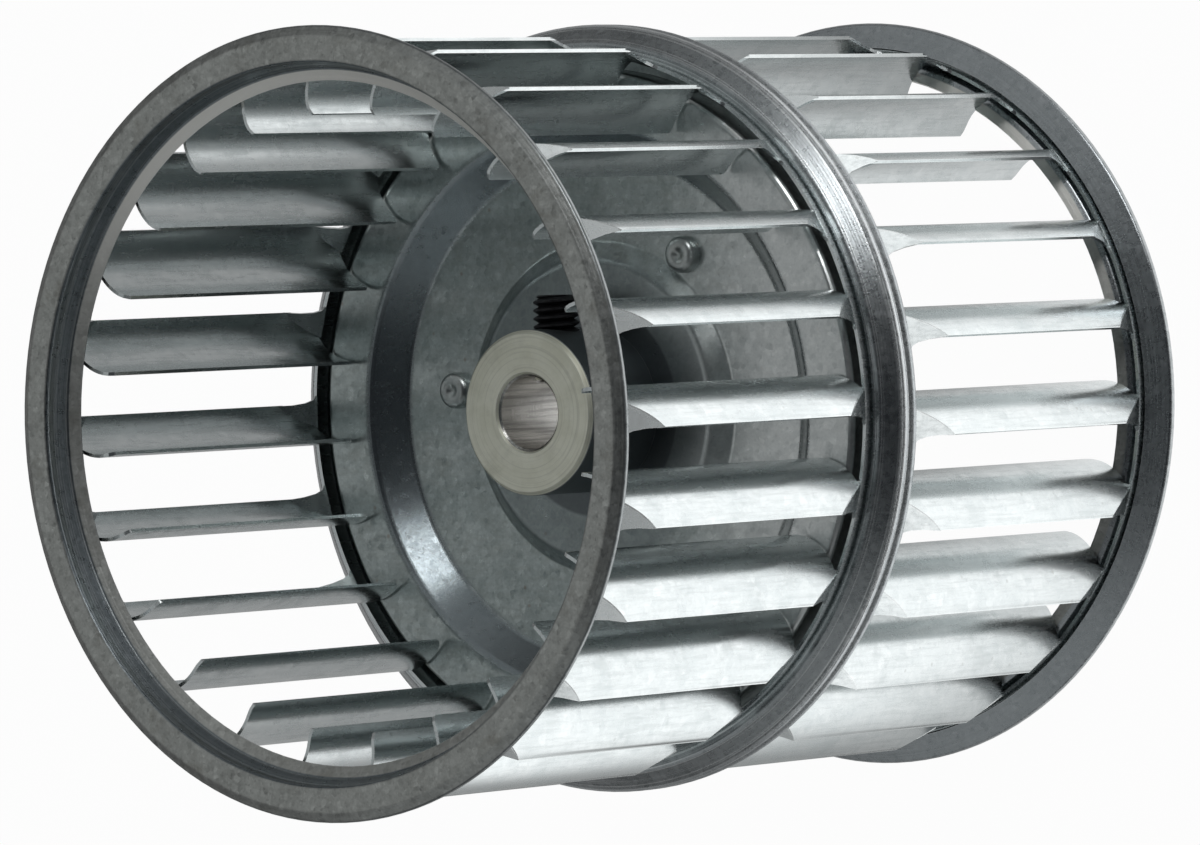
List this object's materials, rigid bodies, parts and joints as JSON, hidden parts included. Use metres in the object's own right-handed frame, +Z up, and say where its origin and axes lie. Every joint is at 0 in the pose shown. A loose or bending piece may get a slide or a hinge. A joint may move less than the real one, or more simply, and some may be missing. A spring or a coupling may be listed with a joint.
{
  "type": "blower wheel",
  "caption": "Double inlet centrifugal blower wheel with lanced blade strips, formed rings, a drawn center disc and a hub with set screw.",
  "frame": {"origin": "on the wheel axis, in the plane of the rear ring's crest, on which the wheel stands", "axes": "+Z up along the shaft axis towards the hub end, +X and +Y across the wheel, the set screw points along +Y"},
  "size_m": [0.1334, 0.1334, 0.155],
  "materials": {
    "galvanised_strip": "satin",
    "ring_steel": "semi-gloss",
    "disc_steel": "satin",
    "hub_steel": "turned",
    "black_steel": "black oxide"
  },
  "bodies": {
    "root": {"rear_end_ring": "ring_steel", "rear_blade_strip": "galvanised_strip", "center_ring": "ring_steel", "center_disc": "disc_steel", "front_blade_strip": "galvanised_strip", "front_end_ring": "ring_steel", "hub": "hub_steel", "set_screw": "black_steel", "hub_plate": "disc_steel", "rivet_1": "disc_steel", "rivet_2": "disc_steel", "rivet_3": "disc_steel"}
  },
  "joints": []
}
